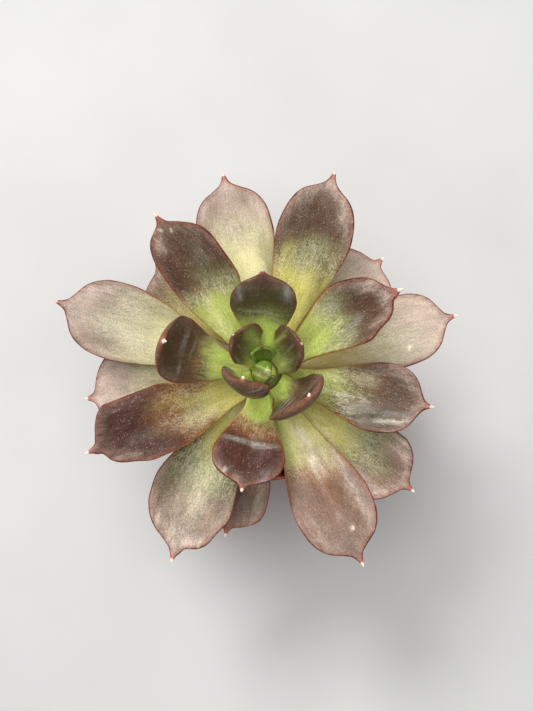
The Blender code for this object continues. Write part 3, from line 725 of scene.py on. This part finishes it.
def store(mesh, values):
    for name, array in values.items():
        kind, field = ("FLOAT_VECTOR", "vector") if array.ndim == 2 else ("FLOAT", "value")
        attribute = mesh.attributes.new(name, kind, "POINT")
        attribute.data.foreach_set(field, array.astype(np.float32).ravel())


# Node materials


class Paint:
    """A material's node tree, with short calls for the nodes used here."""

    def __init__(self, name):
        self.material = bpy.data.materials.new(name)
        self.material.use_nodes = True
        self.tree = self.material.node_tree
        self.shader = self.tree.nodes["Principled BSDF"]

    def node(self, kind, links=(), **settings):
        made = self.tree.nodes.new(kind)
        for key, value in settings.items():
            setattr(made, key, value)
        for socket, value in links:
            self.put(made.inputs[socket], value)
        return made

    def put(self, socket, value):
        if isinstance(value, bpy.types.NodeSocket):
            self.tree.links.new(value, socket)
        else:
            socket.default_value = value

    def place(self):
        return self.node("ShaderNodeTexCoord").outputs["Object"]

    def value(self, name, output="Fac"):
        return self.node("ShaderNodeAttribute", attribute_name=name).outputs[output]

    def math(self, operation, *values, clamp=False):
        return self.node("ShaderNodeMath", enumerate(values), operation=operation, use_clamp=clamp).outputs[0]

    def times(self, a, b, clamp=False):
        return self.math("MULTIPLY", a, b, clamp=clamp)

    def span(self, value, low, high, to_low=0.0, to_high=1.0):
        links = enumerate((value, low, high, to_low, to_high))
        return self.node("ShaderNodeMapRange", links, interpolation_type="SMOOTHSTEP").outputs[0]

    def mix(self, share, a, b):
        return self.node("ShaderNodeMix", ((0, share), (6, a), (7, b)), data_type="RGBA").outputs[2]

    def swing(self, texture, amount):
        """A texture's swing about its middle value."""
        return self.times(self.math("SUBTRACT", texture, 0.5), amount)

    def noise(self, vector, scale, detail=2.0, roughness=0.5, distortion=0.0):
        links = (("Vector", vector), ("Scale", scale), ("Detail", detail), ("Roughness", roughness),
                 ("Distortion", distortion))
        return self.node("ShaderNodeTexNoise", links).outputs[0]

    def stretch(self, vector, scale):
        return self.node("ShaderNodeMapping", (("Vector", vector), ("Scale", scale))).outputs[0]

    def cells(self, vector, scale):
        return self.node("ShaderNodeTexVoronoi", (("Vector", vector), ("Scale", scale))).outputs["Distance"]

    def bump(self, height, distance, strength):
        links = (("Height", height), ("Distance", distance), ("Strength", strength))
        return self.node("ShaderNodeBump", links).outputs[0]

    def set(self, **sockets):
        for name, value in sockets.items():
            self.put(self.shader.inputs[name.replace("_", " ")], value)


def leaf_skin(name, coat):
    """Skin of a leaf: ragged bands of colour, soft marks, wax bloom and painted sheen, rim and point, with
    fibres and fine dots.
    """
    p = Paint(name)
    flat = p.value("flat", "Vector")
    drawn = p.stretch(flat, (1.0, 0.45, 1.0))
    clouds = p.noise(drawn, CLOUDS, 3)
    mottle = p.noise(drawn, MOTTLE, 4, 0.6, 0.6)
    fibre = p.noise(p.stretch(flat, (1.0, 0.16, 1.0)), FIBRES, 3, 0.6)
    grain = p.noise(flat, GRAIN, 2, 0.6)
    streaks = p.noise(p.stretch(flat, (1.0, 0.4, 1.0)), WISPS, 4, 0.65, 1.0)
    wisps = p.math("ABSOLUTE", p.swing(streaks, 1.0))
    dots = p.cells(flat, DOTS)
    grit = p.value("grit")
    wax_and_sheen = linear(COLORS["wax_and_sheen"])

    # Foot, middle and outer colour, which run into each other along ragged fronts
    ragged = p.math("ADD", p.swing(clouds, 0.45), p.swing(mottle, 0.35))
    fade = p.math("ADD", p.value("fade"), ragged)
    color = p.mix(p.span(fade, 0.0, 0.55), p.value("foot", "Vector"), p.value("middle", "Vector"))
    color = p.mix(p.span(fade, 0.4, 1.0), color, p.value("end", "Vector"))
    # Pale wax bloom mixed in, partly painted sheen on the curled margins and the point
    bloom = p.times(p.value("bloom"), p.span(mottle, 0.3, 0.7, 0.5, 1.0))
    color = p.mix(bloom, color, wax_and_sheen)
    color = p.mix(p.span(p.value("upper"), 0.6, 0.1, 0.0, 0.55), color, p.value("back", "Vector"))
    cover = p.times(p.value("cover"), p.span(mottle, 0.35, 0.65, 0.7, 1.15), clamp=True)
    color = p.mix(cover, color, p.value("paint", "Vector"))
    turning = p.times(p.span(fade, 0.0, 0.3), p.span(fade, 0.85, 0.45))
    veined = p.times(p.span(wisps, 0.07, 0.0, 0.0, 0.55), p.times(turning, grit))
    color = p.mix(veined, color, linear(COLORS["sand"]))
    dotted = p.times(p.span(dots, 0.26, 0.12), p.span(mottle, 0.4, 0.6, 0.0, 0.6))
    color = p.mix(p.times(dotted, grit), color, wax_and_sheen)

    # Fine rim in a soft glow, orange at the foot and dark red outwards, and the pale point on its pink root
    edge = p.math("ADD", p.value("rim"), p.swing(mottle, 0.9))
    strength = p.value("edge")
    outwards = p.span(p.value("along"), 0.35, 0.7)
    glow = p.times(p.span(edge, 2.1, 0.3, 0.0, 0.65), p.times(outwards, strength))
    color = p.mix(glow, color, linear(RIM_GLOW))
    rim = p.mix(outwards, linear(RIM_FOOT), linear(RIM))
    color = p.mix(p.times(p.span(edge, 0.5, 0.2), strength), color, rim)
    point = p.value("point")
    color = p.mix(p.span(point, 1.0, 0.42, 0.0, 0.65), color, linear(POINT_ROOT))
    color = p.mix(p.span(point, 0.42, 0.26), color, linear(POINT))

    # The textures make it darker and lighter, less so where it is still the foot's colour
    swings = p.swing(clouds, 1.0)
    for texture, amount in ((mottle, 0.85), (fibre, 1.0), (grain, 2.1)):
        swings = p.math("ADD", swings, p.swing(texture, amount))
    swings = p.times(swings, p.span(fade, 0.0, 0.5, 0.55, 1.0))
    shade = p.math("ADD", p.value("tone"), p.times(swings, grit))
    links = (("Saturation", 1.03), ("Value", shade), ("Color", color))
    shaded = p.node("ShaderNodeHueSaturation", links).outputs[0]

    shine = p.math("ADD", p.value("rough"), p.swing(mottle, 0.25), clamp=True)
    height = p.math("ADD", p.times(mottle, 0.6), p.times(grain, 0.25))
    height = p.math("ADD", height, p.times(fibre, 0.2))
    p.set(Base_Color=shaded, Roughness=shine, Specular_IOR_Level=0.32, Coat_Weight=coat, Coat_Roughness=0.16,
          Subsurface_Weight=0.1, Subsurface_Radius=(1.0, 0.7, 0.25), Subsurface_Scale=0.0015,
          Normal=p.bump(height, 0.0003, 0.9))
    return p.material


def make_leaves():
    outer = leaf_skin("outer_leaf_skin", 0.0)
    upper = leaf_skin("upper_leaf_skin", 0.1)
    heart = leaf_skin("heart_skin", 0.1)
    for number, leaf in enumerate(LEAVES, 1):
        points, values = loft_leaf(leaf, number, LEAF_RINGS, RING_POINTS)
        node = f"leaf_{number:02d}"
        slot, mat = ("outer_leaf", outer) if number < FIRST_UPPER else ("upper_leaf", upper)
        obj = new_object(node + "_skin", points, ring_faces(LEAF_RINGS, RING_POINTS), mat)
        store(obj.data, values)
        stand_for(obj, node)
    make_heart(heart)


def make_heart(mat):
    """The youngest leaves and the core that they grow from, as one piece."""
    points, faces, values = [], [], []
    first = 0
    for number, leaf in enumerate(HEART_LEAVES, len(LEAVES) + 1):
        bud, bud_values = loft_leaf(leaf, number, BUD_RINGS, BUD_POINTS)
        points.append(bud)
        values.append(bud_values)
        faces += ring_faces(BUD_RINGS, BUD_POINTS, first)
        first += len(bud)

    # The core turned about the rosette's axis, rounded over at the top
    share = np.linspace(0, 1, CORE_RINGS)
    heights, radii = np.array([*CORE_PROFILE, ((CORE_TOP - CORE_BOTTOM) / MM, 0.05)]).T
    radius = np.interp(share * heights[-1], heights, radii)[:, None] * MM
    angle = around(BUD_POINTS)
    z = CORE_BOTTOM + share * heights[-1] * MM
    core = closed(np.stack([radius * np.cos(angle), radius * np.sin(angle), z[:, None] + 0 * angle], -1))
    faces += ring_faces(CORE_RINGS, BUD_POINTS, first)
    points.append(from_rosette(core))
    core_values = {name: np.full(len(core), value, float) for name, value in CORE_SKIN.items()}
    for name in ("foot", "middle", "end", "back", "paint"):
        core_values[name] = np.zeros_like(core) + linear(COLORS["lime"])[:3]
    core_values["flat"] = core
    values.append(core_values)

    merged = {name: np.concatenate([v[name] for v in values]) for name in values[0]}
    obj = new_object("heart", np.concatenate(points), faces, mat)
    store(obj.data, merged)
    stand_for(obj, "heart_leaves")


def turned(profile, steps):
    """Points and faces of a closed profile of (radius, height) turned about Z, its ends on the axis."""
    points, rings = [], []
    for r, z in profile:
        rings.append(len(points))
        angles = [2 * math.pi * k / steps for k in range(steps if r else 1)]
        points += [(r * math.cos(a), r * math.sin(a), z) for a in angles]
    faces = [(tip, b, a) for a, b, tip in fan(rings[1], rings[0], steps)]
    for low, high in zip(rings[1:-1], rings[2:-1]):
        faces += band(low, high, steps)
    return points, faces + fan(rings[-2], rings[-1], steps)


def make_stem():
    """The stem with the rings of scars that shed leaves left on it."""
    p = Paint("stem_bark")
    place = p.place()
    fibre = p.noise(p.stretch(place, (1.0, 1.0, 0.25)), 1400, 4, 0.6)
    patch = p.noise(place, 260, 3)
    color = p.mix(p.span(patch, 0.35, 0.65), *map(linear, STEM_GREENS))
    color = p.mix(p.span(fibre, 0.35, 0.7), color, linear(STEM_FIBRE))
    p.set(Base_Color=color, Roughness=0.7, Normal=p.bump(fibre, 0.0002, 0.7))

    heights = np.linspace(-STEM_BELOW / MM, STEM_TOP / MM, STEM_RINGS)
    angle = around(STEM_STEPS)
    points = []
    for h in heights:
        ring = float(stem_radius(h * MM)) + 0 * angle
        for number in SCARS:
            scar_height = FIRST_LEAF / MM + LEAF_PITCH / MM * (number - 1)
            turn = math.radians(GOLDEN_ANGLE * number)
            apart = (angle - turn + math.pi) % (2 * math.pi) - math.pi
            across = apart * ring / MM / SCAR_HALF_WIDTH
            ring = ring - SCAR_DEPTH * np.exp(-across**2 - ((h - scar_height) / SCAR_HALF_HEIGHT) ** 2)
        points += [(r * math.cos(a), r * math.sin(a), h * MM) for r, a in zip(ring, angle)]
    faces = bands(STEM_RINGS, STEM_STEPS)
    faces += [tuple(range(STEM_STEPS))[::-1], tuple(range(len(points) - STEM_STEPS, len(points)))]
    obj = new_object("stem_bark", from_rosette(np.array(points)), faces, p.material)
    obj.data.set_sharp_from_angle(angle=SHARP_EDGE)
    stand_for(obj, "stem")


# Pot and potting mix


def body_radius(z):
    """Outer radius of the pot's wall below the collar."""
    top = RIM_RADIUS - COLLAR_TAPER - COLLAR_STEP
    return FOOT_RADIUS + (top - FOOT_RADIUS) * z / COLLAR_Z


def collar_radius(z):
    """Outer radius of the collar."""
    return RIM_RADIUS - COLLAR_TAPER * (POT_HEIGHT - z) / COLLAR_HEIGHT


def arc(center, radius, start, end, count):
    """Points on an arc in the profile plane, angles in degrees from +X towards +Z."""
    points = []
    for i in range(count + 1):
        a = math.radians(start + (end - start) * i / count)
        points.append((center[0] + radius * math.cos(a), center[1] + radius * math.sin(a)))
    return points


def make_pot():
    """The moulded pot with a rounded lip, soft corners and drain holes through its floor."""
    profile = [
        (0, FLOOR),
        (body_radius(FLOOR) - WALL - 1.0 * MM, FLOOR),
        (body_radius(FLOOR) - WALL, FLOOR + 0.8 * MM),
        (body_radius(COLLAR_Z) - WALL, COLLAR_Z),
        (collar_radius(COLLAR_Z) - WALL, COLLAR_Z + COLLAR_CHAMFER),
        *arc((RIM_RADIUS - WALL + LIP_ROUND, POT_HEIGHT - LIP_ROUND), LIP_ROUND, 180, 90, 6),
        *arc((RIM_RADIUS - LIP_ROUND, POT_HEIGHT - LIP_ROUND), LIP_ROUND, 90, 0, 6),
        *arc((collar_radius(COLLAR_Z) - COLLAR_ROUND, COLLAR_Z + COLLAR_ROUND), COLLAR_ROUND, 0, -80, 4),
        (body_radius(COLLAR_Z - COLLAR_CHAMFER) + 0.15 * MM, COLLAR_Z - COLLAR_CHAMFER * 0.7),
        (body_radius(COLLAR_Z - COLLAR_CHAMFER), COLLAR_Z - COLLAR_CHAMFER * 1.3),
        *arc((body_radius(FOOT_ROUND) - FOOT_ROUND, FOOT_ROUND), FOOT_ROUND, 0, -90, 8),
        (0, 0),
    ]
    points, faces = turned(profile, POT_STEPS)
    p = Paint("moulded_plastic")
    place = p.place()
    grain = p.noise(place, 3200, 3, 0.6)
    cloud = p.noise(place, 90, 4, 0.6)
    streak = p.noise(p.stretch(place, (1.0, 1.0, 0.12)), 700, 4, 0.6)
    height = p.node("ShaderNodeSeparateXYZ", ((0, place),)).outputs[2]
    color = p.mix(p.span(cloud, 0.3, 0.7), *map(linear, POT_REDS))
    color = p.mix(p.span(streak, 0.5, 0.8, 0.0, 0.35), color, linear(POT_STREAK))
    soil = p.times(p.span(cloud, 0.45, 0.7), p.span(height, 0.012, 0.0, 0.0, 0.7))
    color = p.mix(soil, color, linear(POT_SOIL))
    dust = p.times(p.span(streak, 0.4, 0.75), p.span(height, 0.05, 0.066, 0.0, 0.35))
    color = p.mix(dust, color, linear(POT_DUST))
    rough = p.span(cloud, 0.2, 0.8, 0.38, 0.52)
    p.set(Base_Color=color, Roughness=rough, Normal=p.bump(grain, 0.00005, 0.5))
    obj = new_object("pot_shell", points, faces, p.material)
    bottom, top = -FLOOR, 3 * FLOOR
    drain, sides = turned([(0, bottom), (DRAIN_RADIUS, bottom), (DRAIN_RADIUS, top), (0, top)], DRAIN_STEPS)
    cutters = []
    for i in range(DRAIN_COUNT):
        a = 2 * math.pi * (i + 0.5) / DRAIN_COUNT
        dx, dy = DRAIN_CIRCLE * math.cos(a), DRAIN_CIRCLE * math.sin(a)
        moved = [(x + dx, y + dy, z) for x, y, z in drain]
        cutters.append(new_object(f"drain_hole_{i + 1}", moved, sides, p.material))
        cut = obj.modifiers.new("drain", "BOOLEAN")
        cut.operation = "DIFFERENCE"
        cut.solver = "EXACT"
        cut.object = cutters[i]
    apply_modifiers(obj)
    for cutter in cutters:
        bpy.data.objects.remove(cutter, do_unlink=True)
    obj.data.shade_smooth()
    obj.data.set_sharp_from_angle(angle=SHARP_EDGE)
    stand_for(obj, "pot")


def apply_modifiers(obj):
    bpy.context.view_layer.update()
    graph = bpy.context.evaluated_depsgraph_get()
    mesh = bpy.data.meshes.new_from_object(obj.evaluated_get(graph), depsgraph=graph)
    old = obj.data
    obj.modifiers.clear()
    obj.data = mesh
    bpy.data.meshes.remove(old)


def lumps(x, y):
    """Gentle ups and downs of the mix's surface, between -1 and 1."""
    wave = np.sin(430 * x + 1.3) * np.cos(510 * y - 0.4)
    ripple = np.sin(820 * x - 610 * y + 2.1) * np.cos(760 * x + 540 * y)
    return 0.65 * wave + 0.35 * ripple


def mix_top(x, y):
    """Height of the mix's smooth surface."""
    edge = collar_radius(MIX_EDGE_HEIGHT) - WALL - CLEARANCE
    share = np.clip(np.hypot(x, y) / edge, 0, 1)
    waves = MIX_RELIEF * lumps(x, y) * smoothstep(1.0, 0.9, share)
    return MIX_EDGE_HEIGHT + MIX_HEAP * (1 - share**2) + waves


def make_mix():
    """The potting mix with a crumbly top: fine lumps, crumbs of bark and peat, and white perlite."""
    inset = WALL + CLEARANCE
    edge = collar_radius(MIX_EDGE_HEIGHT) - inset
    angle = around(MIX_STEPS)
    rings = []
    for share in np.linspace(0.001, 1, MIX_RINGS):
        x, y = edge * share * np.cos(angle), edge * share * np.sin(angle)
        top = np.stack([x, y, mix_top(x, y)], -1)
        top[:, 2] += noise_at(top, MIX_GRAIN, 3, 3) * MIX_LUMPS * (share < 0.995)
        rings.append(top)
    sides = (
        (collar_radius(COLLAR_Z) - inset, COLLAR_Z + COLLAR_CHAMFER + CLEARANCE),
        (body_radius(COLLAR_Z) - inset, COLLAR_Z + CLEARANCE),
        (body_radius(COLLAR_Z / 2) - inset, COLLAR_Z / 2),
        (body_radius(FLOOR) - inset - 0.8 * MM, FLOOR + CLEARANCE),
        (0.001 * MM, FLOOR + CLEARANCE),
    )
    rings += [np.stack([r * np.cos(angle), r * np.sin(angle), z + 0 * angle], -1) for r, z in sides]
    points = np.concatenate(rings)
    faces = [(a, d, c, b) for a, b, c, d in bands(len(rings), MIX_STEPS)]

    # Crumbs scattered along a spiral, sunk to their middles
    bm = bmesh.new()
    for i in range(CRUMBS):
        share = math.sqrt((i + 0.5) / CRUMBS)
        a = math.radians(GOLDEN_ANGLE * i * CRUMB_STEP)
        r = share * (edge - CRUMB_MARGIN)
        x, y = r * math.cos(a), r * math.sin(a)
        if math.hypot(x, y - STEM_FOOT[1]) < CRUMB_FREE:
            continue
        size = (CRUMB_SMALLEST + CRUMB_RANGE * noise.random()) * MM
        seed = noise.random() * 50
        grain = bmesh.ops.create_icosphere(bm, subdivisions=2, radius=size)["verts"]
        flatten = 0.55 + 0.4 * noise.random()
        for v in grain:
            bulge = 1 + CRUMB_BULGE * noise.noise(v.co / size * 0.9 + Vector((seed, 0, 0)))
            v.co = Vector((v.co.x * bulge * 1.2, v.co.y * bulge, v.co.z * bulge * flatten))
            v.co += Vector((x, y, float(mix_top(x, y)) + size * 0.15))
    bm.verts.index_update()
    extra = np.array([v.co for v in bm.verts])
    faces += [tuple(len(points) + v.index for v in f.verts) for f in bm.faces]
    bm.free()

    p = Paint("potting_mix_crumb")
    place = p.place()
    crumb = p.noise(place, 900, 5, 0.65)
    patch = p.noise(place, 240, 3)
    flecks = p.cells(place, 420)
    color = p.mix(p.span(crumb, 0.35, 0.7), *map(linear, MIX_BROWNS))
    color = p.mix(p.span(patch, 0.5, 0.72, 0.0, 0.5), color, linear(MIX_BARK))
    color = p.mix(p.span(flecks, 0.16, 0.1, 0.0, 0.8), color, linear(MIX_PERLITE))
    p.set(Base_Color=color, Roughness=0.92, Normal=p.bump(crumb, 0.0006, 0.8))
    obj = new_object("potting_mix_crumb", np.concatenate([points, extra]), faces, p.material)
    stand_for(obj, "potting_mix")


# Floor, light and camera


def make_stage():
    corners = [(x * STAGE_HALF, y * STAGE_HALF, 0) for x, y in ((-1, -1), (1, -1), (1, 1), (-1, 1))]
    p = Paint("pale_floor")
    color = p.mix(p.span(p.noise(p.place(), 12, 3), 0.3, 0.7), *map(linear, STAGE_GREYS))
    p.set(Base_Color=color, Roughness=0.85)
    floor = new_object("floor", corners, [(0, 1, 2, 3)], p.material)


def area_light(name, place, size, power):
    """A round soft light aimed at the plant."""
    data = bpy.data.lights.new(name, "AREA")
    data.shape = "DISK"
    data.size = size
    data.energy = power
    light = link(name, data)
    light.location = place
    light.rotation_euler = (Vector(AIM) - Vector(place)).to_track_quat("-Z", "Y").to_euler()


def make_lights():
    area_light("wide_overhead", (-0.05, 0.05, 1.15), size=0.8, power=8.0)
    area_light("soft_key", (-0.32, 0.5, 0.85), size=0.32, power=6.0)
    world = bpy.data.worlds.new("studio")
    world.use_nodes = True
    inputs = world.node_tree.nodes["Background"].inputs
    inputs["Color"].default_value = SKY_COLOR
    inputs["Strength"].default_value = SKY_STRENGTH
    bpy.context.scene.world = world


def make_camera():
    data = bpy.data.cameras.new("camera")
    data.lens = LENS
    camera = link("camera", data)
    camera.location = CAMERA_PLACE
    camera.rotation_euler = (math.radians(CAMERA_TILT), 0, 0)
    bpy.context.scene.camera = camera


def main():
    noise.seed_set(7)
    make_leaves()
    make_stem()
    make_mix()
    make_pot()
    make_stage()
    make_lights()
    make_camera()
    bpy.context.scene.view_settings.view_transform = "Standard"


main()
